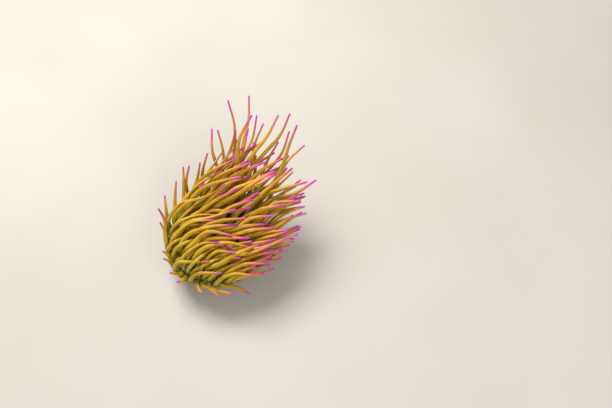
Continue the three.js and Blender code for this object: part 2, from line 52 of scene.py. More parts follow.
# The five cycles of tentacles from the mouth out to the margin, as the part's source describes them.
CYCLES = [
    dict(ring=11.6, sectors=12, offsets=[-0.6], alternate=False, tilt=8, length=58, far_gain=0.1,
         base=2.1, tip=0.95, stream=1.0),
    dict(ring=16.6, sectors=12, offsets=[2.1], alternate=False, tilt=14, length=57, far_gain=0.15,
         base=2.05, tip=0.95, stream=1.0),
    dict(ring=21.2, sectors=24, offsets=[-0.67], alternate=True, tilt=24, length=54, far_gain=0.25,
         base=1.9, tip=0.9, stream=0.98),
    dict(ring=25.0, sectors=24, offsets=[-1.55, 1.55], alternate=False, tilt=36, length=46, far_gain=0.35,
         base=1.3, tip=0.8, stream=0.94),
    dict(ring=28.4, sectors=24, offsets=[-1.9, 1.9], alternate=False, tilt=56, length=36, far_gain=0.35,
         base=1.4, tip=0.8, stream=0.84),
]
# Tentacles that leave the stream: cycle, angle of the root, heading, pitch, length.
LOOSE = [
    # tall ones beyond the far margin
    (4, 57, 88, 43, 80), (4, 72, 94, 43, 75), (3, 84, 90, 46, 56),
    (4, 90, 94, 42, 54), (4, 64, 90, 44, 50), (4, 50, 84, 45, 52),
    # a tuft that stands up behind the leaning crown
    (4, 112, 80, 46, 40), (4, 120, 76, 46, 36), (4, 128, 76, 46, 36),
    (4, 137, 80, 46, 37), (4, 146, 92, 48, 30),
    # short ones upright on the upstream margin
    (4, 160, 104, 50, 27), (4, 174, 106, 50, 26), (4, 184, 100, 52, 26), (4, 194, 105, 55, 23),
    # short curled ones on the near margin
    (4, 206, 150, 60, 12), (4, 216, 170, 50, 11), (4, 226, 200, 45, 11), (4, 237, 240, 40, 12),
    (4, 249, 300, 25, 14), (4, 260, 325, 8, 18), (4, 270, 338, 4, 21), (4, 280, 345, 2, 22),
    # the longest of the fan
    (2, 38, 47, 42, 80), (2, 52, 51, 43, 82), (2, 68, 54, 44, 78),
    (2, 82, 60, 44, 74), (3, 32, 42, 38, 68), (3, 55, 47, 42, 70),
    # thin ones among the longest
    (3, 62, 58, 45, 66), (3, 70, 64, 43, 70), (3, 76, 60, 45, 62),
    (3, 92, 66, 44, 58), (3, 47, 50, 45, 60), (3, 40, 44, 44, 56),
]
RISE_HEADING = (45, 12, -4)
RISE_PITCH = (44, 6, -2)
RISE_SHARE = 0.2
STREAM_HEADING = (12, 14, 14)
STREAM_PITCH = (12, 11, 10)
STREAM_FAN = 4
SWEEP_START, SWEEP_SHARE = 0.1, 0.7
REST_UPSTREAM, REST_LEE, REST_NEAR = 35, -10, -20
SHORTER_NEAR, SHORTER_NEAR_LEE, SHORTER_LEE = 0.12, 0.6, 0.03
DIRECTION_SCATTER, REST_SCATTER, STREAM_SCATTER, LENGTH_SCATTER, SWEEP_SCATTER = 8, 12, 0.3, 0.1, 0.25
WAVE, WAVES_ACROSS, WAVES_LIFT, WAVE_GROWTH = 12, 1.1, 1.0, 2.5
STEP_LENGTH, LEAST_STEPS, STEP_GROWTH = 12, 4, 1.35
TAPER = 0.8
SEED = 7
SETTLING = ((200, 0.25), (60, 0.06))
LAST_ROUNDS = 60
PAIR_REACH, PAIR_REFRESH = 6, 10
PUSH, STRETCH_BACK = 0.9, 0.8  # shares of an overlap, and of a link's stretch, undone in one round
LEAST_YIELD, SHARED_PUSH = 0.15, 0.6  # these keep a node that many others push from jumping
TINY = 1e-6
UP = np.array([0.0, 0.0, 1.0])


# ---------------------------------------------------------------- the tentacles' courses
def scatter_source(seed):
    """Repeatable numbers from -1 to 1."""
    state = seed

    def scatter():
        nonlocal state
        state = (state * 1664525 + 1013904223) % 4294967296
        return 2 * state / 4294967296 - 1

    return scatter


def unit(v):
    return v / math.sqrt(v @ v)


def smooth(t):
    t = min(1, max(0, t))
    return t * t * (3 - 2 * t)


def between(one, other, share):
    """A direction between two others, nearer the second as share goes from 0 to 1."""
    return unit((1 - share) * one + share * other)


def direction(heading, pitch):
    h, p = math.radians(heading), math.radians(pitch)
    return np.array([math.cos(p) * math.cos(h), math.cos(p) * math.sin(h), math.sin(p)])


def crown_z(r):
    top = OUTLINE[MARGIN_INDEX:][::-1]
    return np.interp(r, top[:, 0], top[:, 1])


def side_radius(z):
    side = OUTLINE[:MARGIN_INDEX + 1]
    return np.interp(z, side[:, 1], side[:, 0])


def polynomial(factors, v):
    c0, c1, c2 = factors
    return c0 + c1 * v + c2 * v * v


def resting_direction(outward, scatter):
    """Where a tentacle out of the stream lies: it rises on the upstream side and droops on the near one."""
    near, upstream = max(0, -outward[1]), 0.5 - 0.5 * outward[0]
    pitch = REST_UPSTREAM * upstream + REST_LEE * (1 - upstream) + REST_NEAR * near
    pitch = math.radians(pitch + REST_SCATTER * scatter)
    return math.cos(pitch) * outward + math.sin(pitch) * UP


def make_tentacle(cycle, sector, offset, scatter):
    ring = cycle["ring"]
    angle = (sector + 0.5) * 2 * math.pi / cycle["sectors"] + math.atan2(offset, ring)
    outward = np.array([math.cos(angle), math.sin(angle), 0.0])
    tilt = math.radians(cycle["tilt"])
    normal = math.cos(tilt) * UP + math.sin(tilt) * outward
    root = ring * outward + crown_z(ring) * UP - ROOT_DEPTH * normal
    u, v = ring * outward[0] / MARGIN_RADIUS, ring * outward[1] / MARGIN_RADIUS
    heading = polynomial(STREAM_HEADING, v) + STREAM_FAN * u + DIRECTION_SCATTER * scatter()
    pitch = polynomial(STREAM_PITCH, v) + STREAM_FAN * u + DIRECTION_SCATTER * scatter()
    resting = resting_direction(outward, scatter())
    stream = min(1, cycle["stream"] + (1 - cycle["stream"]) * STREAM_SCATTER * scatter())
    end = between(resting, direction(heading, pitch), stream)
    rise_heading = polynomial(RISE_HEADING, v) + DIRECTION_SCATTER * scatter()
    rise_pitch = polynomial(RISE_PITCH, v) + DIRECTION_SCATTER * scatter()
    rise = between(resting, direction(rise_heading, rise_pitch), stream)
    lee, far, near = max(0, u), max(0, outward[1]), max(0, -outward[1])
    length = cycle["length"] * (1 + LENGTH_SCATTER * scatter()) * (1 + cycle["far_gain"] * far)
    length *= 1 - SHORTER_NEAR * near
    length *= 1 - SHORTER_NEAR_LEE * lee * max(0, -v) - SHORTER_LEE * lee
    sweep = SWEEP_SHARE * (1 + SWEEP_SCATTER * scatter())
    waves = (math.pi * scatter(), math.pi * scatter())
    return dict(cycle=cycle, angle=angle, normal=normal, root=root, rise=rise, end=end, length=length,
                sweep=sweep, waves=waves)


def make_tentacles():
    scatter = scatter_source(SEED)
    tentacles = []
    for cycle in CYCLES:
        for sector in range(cycle["sectors"]):
            side = -1 if cycle["alternate"] and sector % 2 else 1
            for offset in cycle["offsets"]:
                tentacles.append(make_tentacle(cycle, sector, side * offset, scatter))
    turned = set()
    for index, at, heading, pitch, length in LOOSE:
        def distance(i):
            return abs((math.degrees(tentacles[i]["angle"]) - at + 540) % 360 - 180)
        free = [i for i, t in enumerate(tentacles) if t["cycle"] is CYCLES[index] and i not in turned]
        nearest = min(free, key=distance)
        turned.add(nearest)
        course = direction(heading, pitch)
        tentacles[nearest].update(rise=course, end=course, length=length)
    return tentacles


def free_course(t):
    steps = max(LEAST_STEPS, math.floor(t["length"] / STEP_LENGTH + 0.5))
    share = (np.arange(steps + 1) / steps) ** STEP_GROWTH
    across = np.cross(t["end"], UP)
    across = across / max(TINY, math.sqrt(across @ across))
    lift = np.cross(across, t["end"])
    points = [t["root"]]
    for j in range(steps):
        middle = 0.5 * (share[j] + share[j + 1])
        sweep = smooth((middle - SWEEP_START) / t["sweep"])
        turn = smooth(middle / RISE_SHARE)
        heading = between(t["normal"], between(t["rise"], t["end"], sweep), turn)
        swing = math.radians(WAVE) * min(1, middle * WAVE_GROWTH)
        heading = heading + across * swing * math.sin(2 * math.pi * WAVES_ACROSS * middle + t["waves"][0])
        heading = unit(heading + lift * swing * math.sin(2 * math.pi * WAVES_LIFT * middle + t["waves"][1]))
        points.append(points[-1] + heading * t["length"] * (share[j + 1] - share[j]))
    c = t["cycle"]
    return np.array(points), c["tip"] + (c["base"] - c["tip"]) * (1 - share) ** TAPER


def sum_at(index, values, count):
    return np.stack([np.bincount(index, values[:, k], count) for k in range(3)], axis=1)


class Crown:
    """Nodes joined by links; settle() draws links to their shape and pushes close ones apart."""

    def __init__(self, tentacles):
        courses = [free_course(t) for t in tentacles]
        counts = np.array([len(p) for p, _ in courses])
        self.firsts = np.concatenate([[0], np.cumsum(counts)])
        self.p = np.concatenate([p for p, _ in courses])
        self.radius = np.concatenate([r for _, r in courses])
        self.order = np.concatenate([np.arange(n) for n in counts])
        self.weight = np.where(self.order == 0, 0.0, 1.0)
        self.owner = np.repeat(np.arange(len(courses)), counts)
        self.a = np.flatnonzero(np.append(self.owner[1:] == self.owner[:-1], False))
        self.b = self.a + 1
        self.free = self.p[self.b] - self.p[self.a]
        self.length = np.linalg.norm(self.free, axis=1)

    def course(self, index):
        return self.p[self.firsts[index]:self.firsts[index + 1]]

    def find_pairs(self):
        middle = 0.5 * (self.p[self.a] + self.p[self.b])
        bound = 0.5 * self.length + np.maximum(self.radius[self.a], self.radius[self.b])
        limit = bound[:, None] + bound[None, :] + TENTACLE_GAP + PAIR_REACH
        squared = ((middle[:, None] - middle[None, :]) ** 2).sum(-1)
        owner = self.owner[self.a]
        close = (squared < limit * limit) & (owner[:, None] != owner[None, :])
        self.one, self.two = np.nonzero(np.triu(close, 1))

    def draw_to_shape(self, strength):
        error = self.p[self.a] + self.free - self.p[self.b]
        self.move_links(error * strength)

    def keep_lengths(self):
        along = self.p[self.b] - self.p[self.a]
        length = np.linalg.norm(along, axis=1)
        self.move_links(along * (STRETCH_BACK * (self.length - length) / length)[:, None])

    def move_links(self, shift):
        wa, wb = self.weight[self.a], self.weight[self.b]
        shift = shift / (wa + wb)[:, None]
        count = len(self.p)
        self.p += sum_at(self.b, shift * wb[:, None], count) - sum_at(self.a, shift * wa[:, None], count)

    def closeness(self):
        a0, a1 = self.a[self.one], self.b[self.one]
        b0, b1 = self.a[self.two], self.b[self.two]
        d1, d2 = self.p[a1] - self.p[a0], self.p[b1] - self.p[b0]
        r = self.p[a0] - self.p[b0]
        a, e, f = (d1 * d1).sum(1), (d2 * d2).sum(1), (d2 * r).sum(1)
        c, b = (d1 * r).sum(1), (d1 * d2).sum(1)
        spread = a * e - b * b
        s = np.where(spread > 1e-9, np.clip((b * f - c * e) / np.maximum(spread, 1e-9), 0, 1), 0.5)
        t = np.clip((b * s + f) / e, 0, 1)
        s = np.clip((b * t - c) / a, 0, 1)
        t = np.clip((b * s + f) / e, 0, 1)
        apart = r + d1 * s[:, None] - d2 * t[:, None]
        R = self.radius
        need = R[a0] * (1 - s) + R[a1] * s + R[b0] * (1 - t) + R[b1] * t + TENTACLE_GAP
        return (a0, a1, b0, b1), s, t, apart, np.linalg.norm(apart, axis=1), need

    def separate(self, strength):
        ends, s, t, apart, distance, need = self.closeness()
        hit = distance < need
        if not hit.any():
            return
        a0, a1, b0, b1 = (e[hit] for e in ends)
        s, t, apart, distance, need = s[hit], t[hit], apart[hit], distance[hit], need[hit]
        shares = ((a0, 1 - s, 1), (a1, s, 1), (b0, 1 - t, -1), (b1, t, -1))
        yielding = sum(share * share * self.weight[node] for node, share, _ in shares)
        push = (need - distance) * strength / np.maximum(yielding, LEAST_YIELD) / np.maximum(distance, TINY)
        count = len(self.p)
        shift, touches = np.zeros((count, 3)), np.zeros(count)
        for node, share, sign in shares:
            part = share * self.weight[node]
            shift += sum_at(node, apart * (sign * part * push)[:, None], count)
            touches += np.bincount(node, part > 1e-3, count)
        self.p += shift / np.maximum(1, SHARED_PUSH * touches)[:, None]

    def clear_body(self):
        p = self.p
        r, z = np.hypot(p[:, 0], p[:, 1]), p[:, 2]
        best = np.full(len(p), np.inf)
        near_r, near_z = np.zeros(len(p)), np.zeros(len(p))
        for (r0, z0), (r1, z1) in zip(OUTLINE[:-1], OUTLINE[1:]):
            dr, dz = r1 - r0, z1 - z0
            t = np.clip(((r - r0) * dr + (z - z0) * dz) / (dr * dr + dz * dz), 0, 1)
            distance = np.hypot(r - r0 - t * dr, z - z0 - t * dz)
            closer = distance < best
            best = np.where(closer, distance, best)
            near_r = np.where(closer, r0 + t * dr, near_r)
            near_z = np.where(closer, z0 + t * dz, near_z)
        inside = (z > 0) & (z < crown_z(r)) & (r < side_radius(z))
        clear = np.where(inside, -best, best)
        push = np.where(self.order > 1, np.maximum(0, self.radius + BODY_CLEARANCE - clear), 0)
        side = np.where(inside, -1.0, 1.0)
        scale = push * side * (r - near_r) / np.maximum(best, TINY) / np.maximum(r, TINY)
        rise = push * side * (z - near_z) / np.maximum(best, TINY)
        p[:, 0] += scale * p[:, 0]
        p[:, 1] += scale * p[:, 1]
        p[:, 2] += rise
        free = self.order > 0
        p[free, 2] = np.maximum(p[free, 2], self.radius[free] + SEAM)

    def settle(self):
        step = 0
        for count, shape in SETTLING:
            for _ in range(count):
                if step % PAIR_REFRESH == 0:
                    self.find_pairs()
                self.draw_to_shape(shape)
                self.separate(PUSH)
                self.clear_body()
                self.keep_lengths()
                step += 1
        self.find_pairs()
        for _ in range(LAST_ROUNDS):
            self.separate(1)
            self.clear_body()


# ---------------------------------------------------------------- sizes of the skin
CURVE_STEPS = 10  # points on a smooth curve from one node to the next
RING_SPACING = 1.35
LIE_STEP = 137.0  # sets each tentacle's streaks apart from the next one's
TENTACLE_SIDES = 10
TIP_DOME = 0.8
TIP_SLIMMING, SLIM_FROM = 0.3, 0.62  # a tentacle slims towards its tip a little more than its solid does
DOME_ANGLES = (0.45, 0.9, 1.25)
ROOT_FLARE, FLARE_REACH = 0.22, 1.9
SWELLING = 0.035  # share by which a tentacle swells and narrows along its length
SWELLS_ALONG = (3.1, 6.7)
PRESSED_GAP = 0.12  # left between the tubes where two tentacles press together
PRESSED_FROM = (2.5, 5.5)  # how far above its root a tentacle starts to give way to its neighbours
BODY_SEGMENTS = 168
BODY_SPACING = 0.85
SOLE_RINGS = 7
SOLE_EDGE = [(25.1, 0.0), (25.6, 0.5), (25.2, 1.3)]
OFF_FLOOR = (0.1, 1.5)
# Each relief of the body has a depth, and fades in over the first span and out over the second: spans of
# height on the column, and of radius on the crown and the lips.
PLEATS, PLEAT_DEPTH, PLEAT_SPANS = 24, 0.24, ((0.3, 3), (14.5, 16))
WRINKLE_DEPTH, WRINKLE_PITCH, WRINKLE_SPANS = 0.13, 1.9, ((1.5, 4), (10, 13))
SCALLOP_DEPTH, SCALLOP_HEIGHT, SCALLOPS_FROM = 0.3, 1.2, 26
DISC_RAYS, RAY_DEPTH, RAY_SPANS = 24, 0.16, ((4.2, 5.4), (11, 14))
LIP_RIBS, RIB_DEPTH, RIB_SPANS = 16, 0.17, ((0.8, 1.8), (3.6, 4.6))
FOOT_LOBES = ((3, 0.03, 0.6), (7, 0.018, 2), (19, 0.006, 0))  # count round the foot, depth, turn
BEAD_RINGS, BEAD_SIDES = 6, 10
SMALL_BEAD = 0.72  # size of the beads between the main ones

# Where each form lies on the unwrapped map: left, bottom, width, height.
TENTACLE_COLUMNS, TENTACLE_ROWS = 36, 4
TENTACLE_CHART = (0.0, 0.22, 1.0, 0.78)
BODY_CHART = (0.002, 0.002, 0.6, 0.21)
BEAD_COLUMNS, BEAD_ROWS = 12, 4
BEAD_CHART = (0.62, 0.002, 0.378, 0.21)
CHART_MARGIN = 0.06  # share of a cell left free round its patch

COLUMN_SKIN, CROWN_SKIN, LIP_SKIN, BEAD_SKIN, TENTACLE_SKIN = range(5)


# ---------------------------------------------------------------- the skin's mesh
def to_frame(points):
    """From millimetres about the crown's axis to metres in the frame."""
    return (np.asarray(points) - FOOT_SHIFT) * MM


def smooth_curve(points):
    """A centripetal Catmull-Rom curve through the points."""
    points = np.asarray(points, float)
    ends = np.vstack([2 * points[0] - points[1], points, 2 * points[-1] - points[-2]])
    knots = np.sqrt(np.linalg.norm(np.diff(ends, axis=0), axis=1))
    curve = []
    for i in range(1, len(ends) - 2):
        p0, p1, p2, p3 = ends[i - 1:i + 3]
        before, here, after = knots[i - 1:i + 2]
        out = p2 - p1 + here * ((p1 - p0) / before - (p2 - p0) / (before + here))
        into = p2 - p1 + here * ((p3 - p2) / after - (p3 - p1) / (here + after))
        for t in np.arange(CURVE_STEPS) / CURVE_STEPS:
            cubic = 2 * (p1 - p2) + out + into
            square = 3 * (p2 - p1) - 2 * out - into
            curve.append(((cubic * t + square) * t + out) * t + p1)
    curve.append(points[-1])
    return np.array(curve)


def evenly(curve, spacing):
    """The curve's points at even steps of about the spacing, and how far along it each one is."""
    steps = np.linalg.norm(np.diff(curve, axis=0), axis=1)
    reached = np.concatenate([[0], np.cumsum(steps)])
    at = np.linspace(0, reached[-1], max(2, round(reached[-1] / spacing) + 1))
    return np.stack([np.interp(at, reached, curve[:, k]) for k in range(curve.shape[1])], axis=1), at


def frames_along(curve):
    """Unit vectors along, and two across, at each point of the curve, turning no more than it does."""
    along = np.gradient(curve, axis=0)
    along /= np.linalg.norm(along, axis=1)[:, None]
    start = UP if abs(along[0][2]) < 0.9 else np.array([1.0, 0.0, 0.0])
    side, sides = np.cross(along[0], start), []
    for tangent in along:
        side = unit(side - tangent * (side @ tangent))
        sides.append(side)
    sides = np.array(sides)
    return along, sides, np.cross(along, sides)


def around(count):
    angles = np.arange(count) * 2 * math.pi / count
    return np.cos(angles), np.sin(angles)


def cell(chart, columns, rows, index):
    """The index-th cell of a chart that is divided into columns and rows."""
    left, bottom, width, height = chart[0], chart[1], chart[2] / columns, chart[3] / rows
    column, row = index % columns, index // columns
    inset = CHART_MARGIN * width
    return left + column * width + inset, bottom + row * height + inset, width - 2 * inset, height - 2 * inset


class Skin:
    """Closed shells, each made of rings of points between two poles, gathered into one mesh."""

    def __init__(self):
        self.points, self.along, self.lie = [], [], []
        self.corners, self.sizes, self.places, self.materials = [], [], [], []
        self.count = 0

    def add_shell(self, rings, poles, along, lie, patch, materials):
        """rings is rings x sides x 3; along has a value, and materials an index, for each ring."""
        count, sides = rings.shape[:2]
        self.points += [poles[:1], rings.reshape(-1, 3), poles[1:]]
        self.along += [along[:1], np.repeat(along, sides), along[-1:]]
        self.lie += [lie[0, :1], lie.reshape(-1, 3), lie[-1, :1]]
        ids = self.count + 1 + np.arange(count * sides).reshape(count, sides)
        first, last = self.count, self.count + 1 + count * sides
        self.count = last + 1
        lower, upper = ids[:-1], ids[1:]
        quads = np.stack([lower, np.roll(lower, -1, 1), np.roll(upper, -1, 1), upper], axis=-1)
        start = np.stack([np.full(sides, first), np.roll(ids[0], -1), ids[0]], axis=-1)
        end = np.stack([np.full(sides, last), ids[-1], np.roll(ids[-1], -1)], axis=-1)
        left, bottom, width, height = patch
        u = left + width * np.arange(sides + 1) / sides
        v = bottom + height * np.linspace(0, 1, count + 2)
        middle = (u[:-1] + u[1:]) / 2
        low, high = np.meshgrid(v[1:-2], u[:-1], indexing="ij"), np.meshgrid(v[2:-1], u[1:], indexing="ij")
        flat = [(low[1], low[0]), (high[1], low[0]), (high[1], high[0]), (low[1], high[0])]
        quad_places = np.stack([np.stack(pair, axis=-1) for pair in flat], axis=-2)
        start_places = self.fan_places(middle, v[0], u[1:], u[:-1], v[1])
        end_places = self.fan_places(middle, v[-1], u[:-1], u[1:], v[-2])
        self.corners += [start.ravel(), quads.ravel(), end.ravel()]
        self.sizes += [np.full(sides, 3), np.full((count - 1) * sides, 4), np.full(sides, 3)]
        self.places += [start_places.ravel(), quad_places.ravel(), end_places.ravel()]
        self.materials += [np.repeat(np.concatenate([materials[:1], materials]), sides)]

    @staticmethod
    def fan_places(middle, tip, one, other, rim):
        corners = [(middle, tip), (one, rim), (other, rim)]
        return np.stack([np.stack([u, np.full(len(u), v)], axis=-1) for u, v in corners], axis=-2)

    def make_object(self, name, materials):
        mesh = bpy.data.meshes.new(name)
        corners, sizes = np.concatenate(self.corners), np.concatenate(self.sizes)
        mesh.vertices.add(self.count)
        mesh.loops.add(len(corners))
        mesh.polygons.add(len(sizes))
        mesh.vertices.foreach_set("co", to_frame(np.concatenate(self.points)).ravel())
        mesh.loops.foreach_set("vertex_index", corners.astype(np.int32))
        starts = np.concatenate([[0], np.cumsum(sizes)[:-1]])
        mesh.polygons.foreach_set("loop_start", starts.astype(np.int32))
        mesh.polygons.foreach_set("material_index", np.concatenate(self.materials).astype(np.int32))
        mesh.polygons.foreach_set("use_smooth", np.ones(len(sizes), bool))
        mesh.uv_layers.new(name="OFBake").data.foreach_set("uv", np.concatenate(self.places))
        mesh.attributes.new("along", "FLOAT", "POINT").data.foreach_set("value", np.concatenate(self.along))
        lie = np.concatenate(self.lie).ravel()
        mesh.attributes.new("lie", "FLOAT_VECTOR", "POINT").data.foreach_set("vector", lie)
        mesh.update(calc_edges=True)
        for material in materials:
            mesh.materials.append(material)
        made = bpy.data.objects.new(name, mesh)
        bpy.context.scene.collection.objects.link(made)
        return made


def tentacle_tube(nodes, cycle, scatter):
    """A smooth curve through the nodes, how far along it each point is, and the tapering radius there."""
    curve, reached = evenly(smooth_curve(nodes), RING_SPACING)
    share = reached / reached[-1]
    radius = cycle["tip"] + (cycle["base"] - cycle["tip"]) * (1 - share) ** TAPER
    radius = radius * (1 - TIP_SLIMMING * fade(share, SLIM_FROM, 1))
    above_crown = np.maximum(0, reached - ROOT_DEPTH)
    radius = radius * (1 + ROOT_FLARE * np.exp(-(above_crown / FLARE_REACH) ** 2))
    middle = np.sin(math.pi * share)  # the swelling fades at both ends
    for waves in SWELLS_ALONG:
        phase = math.pi * scatter()
        radius = radius * (1 + SWELLING * middle * np.sin(2 * math.pi * waves * share + phase))
    return curve, reached, radius


def press(tubes):
    """Slims the tubes where two press together, each by half of what they would overlap."""
    owner = np.repeat(np.arange(len(tubes)), [len(curve) for curve, _, _ in tubes])
    points = np.concatenate([curve for curve, _, _ in tubes])
    sizes = np.concatenate([radius for _, _, radius in tubes])
    pressed = []
    for index, (curve, reached, radius) in enumerate(tubes):
        others = owner != index
        apart = np.linalg.norm(curve[:, None] - points[others], axis=2) - sizes[others]
        short = np.maximum(0, PRESSED_GAP - (apart.min(axis=1) - radius)) / 2
        pressed.append((curve, reached, radius - short * fade(reached, *PRESSED_FROM)))
    return pressed


def add_tentacle(skin, tube, index):
    """A tube of rings along its curve, domed at the tip."""
    curve, reached, radius = tube
    share = reached / reached[-1]
    forward, side, other = frames_along(curve)
    dome = np.array(DOME_ANGLES)
    tip, heading = curve[-1], forward[-1]
    rise = TIP_DOME * radius[-1]
    centres = np.vstack([curve, tip + heading * rise * np.sin(dome)[:, None]])
    radii = np.concatenate([radius, radius[-1] * np.cos(dome)])
    side = np.vstack([side, np.repeat(side[-1:], len(dome), axis=0)])
    other = np.vstack([other, np.repeat(other[-1:], len(dome), axis=0)])
    cos, sin = around(TENTACLE_SIDES)
    rings = cos[None, :, None] * side[:, None] + sin[None, :, None] * other[:, None]
    rings = centres[:, None] + rings * radii[:, None, None]
    poles = np.array([curve[0], tip + heading * rise])
    share = np.concatenate([share, np.ones(len(dome))])
    reached = np.concatenate([reached, reached[-1] + rise * np.sin(dome)])
    lie = np.empty(rings.shape)
    lie[..., 0], lie[..., 1] = cos, sin
    lie[..., 2] = reached[:, None] + LIE_STEP * index
    patch = cell(TENTACLE_CHART, TENTACLE_COLUMNS, TENTACLE_ROWS, index)
    skin.add_shell(rings, poles, share, lie, patch, np.full(len(rings), TENTACLE_SKIN))


def fade(x, low, high):
    """0 below low, 1 above high, smooth between."""
    t = np.clip((x - low) / (high - low), 0, 1)
    return t * t * (3 - 2 * t)


def relief(x, spans):
    """1 between the two spans, 0 outside them, smooth between."""
    rise, end = spans
    return fade(x, *rise) * (1 - fade(x, *end))


def column_relief(angle, z):
    """Pleats up the column and wrinkles round it, both a little irregular."""
    wander = 0.5 * np.sin(0.55 * z + 3 * angle) + 0.3 * np.sin(2 * angle + 1)
    pleats = np.cos(PLEATS * angle + wander) * relief(z, PLEAT_SPANS)
    uneven = 1.3 * np.sin(3 * angle) + 0.8 * np.sin(8 * angle + 2)
    wrinkles = np.sin(2 * math.pi * z / WRINKLE_PITCH + uneven)
    wrinkles = wrinkles * relief(z, WRINKLE_SPANS) * (0.6 + 0.4 * np.sin(5 * angle + 0.4 * z))
    return PLEAT_DEPTH * pleats * fade(z, *OFF_FLOOR) + WRINKLE_DEPTH * wrinkles


def crown_relief(angle, r):
    """Rays on the oral disc and ribs across the lips."""
    rays = np.cos(DISC_RAYS * angle) * relief(r, RAY_SPANS)
    ribs = np.cos(LIP_RIBS * angle) * relief(r, RIB_SPANS)
    return RAY_DEPTH * rays + RIB_DEPTH * ribs


def body_profile():
    """Radius and height from the middle of the sole round to the throat, and how far along each lies."""
    profile = smooth_curve([*SOLE_EDGE, *OUTLINE[2:-1], LIP_OUTER, LIP_CREST, LIP_INNER, THROAT])
    profile, reached = evenly(profile, BODY_SPACING)
    sole = np.linspace(0, SOLE_EDGE[0][0], SOLE_RINGS + 1)[1:-1]
    r = np.concatenate([sole, profile[:, 0]])
    z = np.concatenate([np.zeros(len(sole)), profile[:, 1]])
    return r, z, np.concatenate([sole - SOLE_EDGE[0][0], reached])


def add_body(skin):
    """Foot, column, collar, crown floor, oral disc, lips and throat as one shell."""
    ring_r, ring_z, reached = body_profile()
    on_crown = np.arange(len(ring_r)) >= np.argmax(ring_r)  # from the margin in to the mouth
    r, z, inner = ring_r[:, None], ring_z[:, None], on_crown[:, None]
    angle = (np.arange(BODY_SEGMENTS) * 2 * math.pi / BODY_SEGMENTS)[None, :]
    scallops = np.cos(BEAD_COUNT * angle) * np.exp(-((z - MARGIN_Z) / SCALLOP_HEIGHT) ** 2)
    radius = r + np.where(inner, 0, column_relief(angle, z)) + SCALLOP_DEPTH * scallops * (r > SCALLOPS_FROM)
    height = z + np.where(inner, crown_relief(angle, r), 0)
    in_mouth = np.where(inner, 1 - fade(r, LIP_OUTER[0], ORAL_DISC_RADIUS), 0)
    low = np.maximum(0, 1 - z / SHOULDER_Z)
    lobes = 1 + low * sum(depth * np.sin(count * angle + turn) for count, depth, turn in FOOT_LOBES)
    x = radius * lobes * np.cos(angle) * (1 + in_mouth * (MOUTH_STRETCH[0] - 1)) + FOOT_SHIFT[0] * low
    y = radius * lobes * np.sin(angle) * (1 + in_mouth * (MOUTH_STRETCH[1] - 1)) + FOOT_SHIFT[1] * low
    rings = np.stack(np.broadcast_arrays(x, y, height), axis=-1)
    poles = np.array([FOOT_SHIFT, (0, 0, THROAT_Z)])
    lie = np.empty(rings.shape)
    lie[..., 0], lie[..., 1], lie[..., 2] = np.cos(angle), np.sin(angle), reached[:, None]
    materials = np.where(on_crown, CROWN_SKIN, COLUMN_SKIN)
    materials[on_crown & (ring_r < LIP_OUTER[0])] = LIP_SKIN
    skin.add_shell(rings, poles, ring_z / MARGIN_Z, lie, BODY_CHART, materials)


def add_bead(skin, index):
    """One of the acrorhagi: a squat bud that stands out of the collar."""
    main = index % 2 == 0
    size = BEAD_RADIUS * (1 if main else SMALL_BEAD)
    angle = (index + 1) * math.pi / BEAD_COUNT
    z = COLLAR_Z - BEAD_RADIUS - SEAM
    outward = np.array([math.cos(angle), math.sin(angle), 0])
    across = np.array([-math.sin(angle), math.cos(angle), 0])
    centre = outward * side_radius(z) + UP * z
    cos, sin = around(BEAD_SIDES)
    turn = math.pi * (np.arange(BEAD_RINGS) + 1) / (BEAD_RINGS + 1)
    rings = cos[None, :, None] * across + sin[None, :, None] * UP
    rings = centre + size * (rings * np.sin(turn)[:, None, None] - outward * np.cos(turn)[:, None, None])
    poles = np.array([centre - size * outward, centre + size * outward])
    lie = np.empty(rings.shape)
    lie[..., 0], lie[..., 1], lie[..., 2] = cos, sin, size * turn[:, None] + index
    patch = cell(BEAD_CHART, BEAD_COLUMNS, BEAD_ROWS, index)
    skin.add_shell(rings, poles, 1 - np.cos(turn), lie, patch, np.full(BEAD_RINGS, BEAD_SKIN))


# ---------------------------------------------------------------- materials
def colour(red, green, blue):
    """A screen colour of 0 to 255 as the linear one that shaders use."""
    def linear(c):
        c /= 255
        return c / 12.92 if c <= 0.04045 else ((c + 0.055) / 1.055) ** 2.4
    return linear(red), linear(green), linear(blue), 1.0


